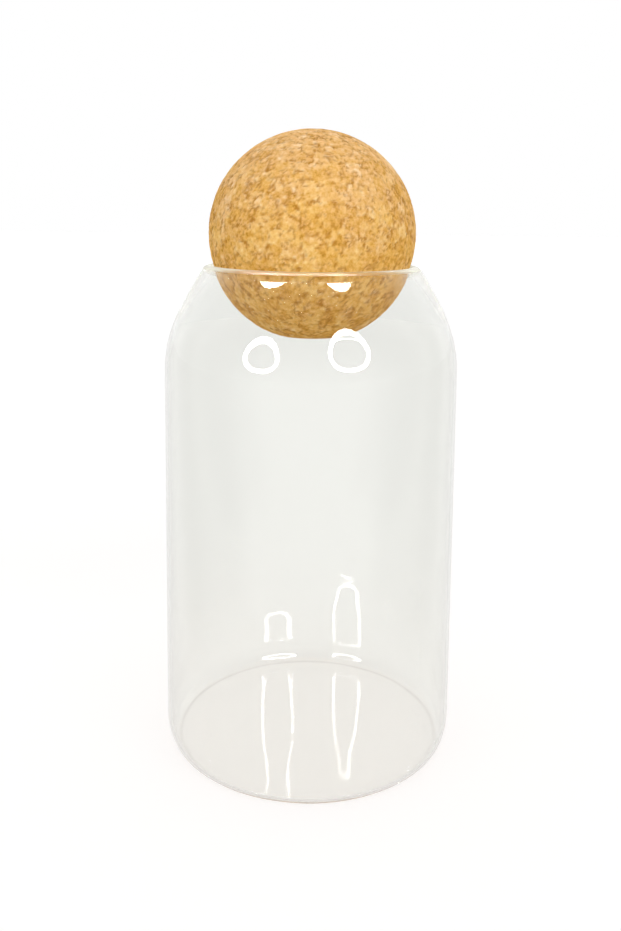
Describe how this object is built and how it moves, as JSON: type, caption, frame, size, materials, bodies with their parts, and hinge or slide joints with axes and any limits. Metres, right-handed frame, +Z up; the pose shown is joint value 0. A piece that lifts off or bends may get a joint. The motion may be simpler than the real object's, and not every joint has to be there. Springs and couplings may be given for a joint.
{
  "type": "glass storage jar with cork ball stopper",
  "caption": "Clear round glass jar with a straight wall, sloping shoulder and thick rounded lip, closed by a cork ball that rests in the mouth and lifts out.",
  "frame": {"origin": "centre of the foot, on the surface that the jar stands on", "axes": "+Z up along the jar's axis of revolution; X and Y are alike, because the object is round"},
  "size_m": [0.1, 0.1, 0.2119],
  "materials": {
    "clear_glass": "clear colourless glass, smooth all over, with a fire-polished lip",
    "pressed_cork": "pressed cork granules in golden tan with lighter and darker specks and small pits, matt"
  },
  "bodies": {
    "jar": {"glass_jar": "clear_glass"},
    "stopper": {"cork_ball": "pressed_cork"}
  },
  "joints": [
    {"name": "stopper_lift", "type": "slide", "parent": "jar", "child": "stopper", "axis": [0, 0, 1], "range_m": [0, 0.08]}
  ]
}
